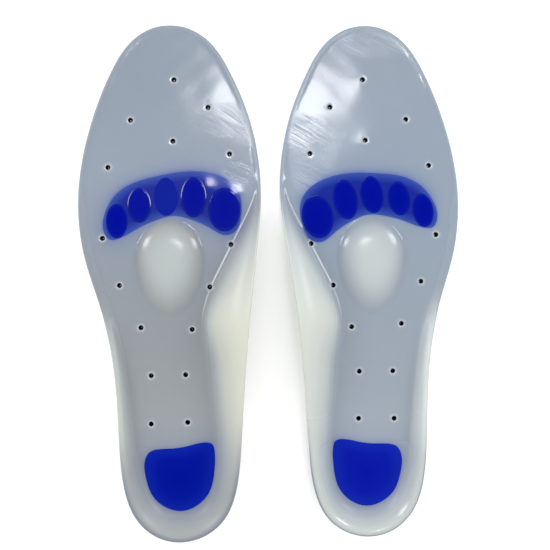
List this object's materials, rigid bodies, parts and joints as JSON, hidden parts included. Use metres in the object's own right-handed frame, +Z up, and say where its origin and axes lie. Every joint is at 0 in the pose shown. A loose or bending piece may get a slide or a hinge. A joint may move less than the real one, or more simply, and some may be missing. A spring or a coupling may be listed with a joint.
{
  "type": "cushioned insole pair",
  "caption": "Matched left and right gel insoles with a cupped heel, raised arch, metatarsal dome, soft coloured forefoot pods and heel insert, and vent holes.",
  "frame": {"origin": "centre of the pair's footprint, on the flat underside", "axes": "+Y from the heels towards the toes, +X towards the right insole, +Z up out of the footbeds"},
  "size_m": [0.1998, 0.2671, 0.0242],
  "materials": {
    "gel": "translucent glossy silicone gel",
    "web_gel": "thin blue silicone gel",
    "pod_gel": "soft dark blue silicone gel",
    "heel_gel": "soft dark blue silicone gel"
  },
  "bodies": {
    "left_insole": {"left_gel_body": "gel", "left_forefoot_web": "web_gel", "left_metatarsal_pod_1": "pod_gel", "left_metatarsal_pod_2": "pod_gel", "left_metatarsal_pod_3": "pod_gel", "left_metatarsal_pod_4": "pod_gel", "left_metatarsal_pod_5": "pod_gel", "left_heel_insert": "heel_gel"},
    "right_insole": {"right_gel_body": "gel", "right_forefoot_web": "web_gel", "right_metatarsal_pod_1": "pod_gel", "right_metatarsal_pod_2": "pod_gel", "right_metatarsal_pod_3": "pod_gel", "right_metatarsal_pod_4": "pod_gel", "right_metatarsal_pod_5": "pod_gel", "right_heel_insert": "heel_gel"}
  },
  "joints": [
    {"name": "right_lift", "type": "slide", "parent": "left_insole", "child": "right_insole", "axis": [0, 0, 1], "range_m": [0, 0.06]}
  ]
}
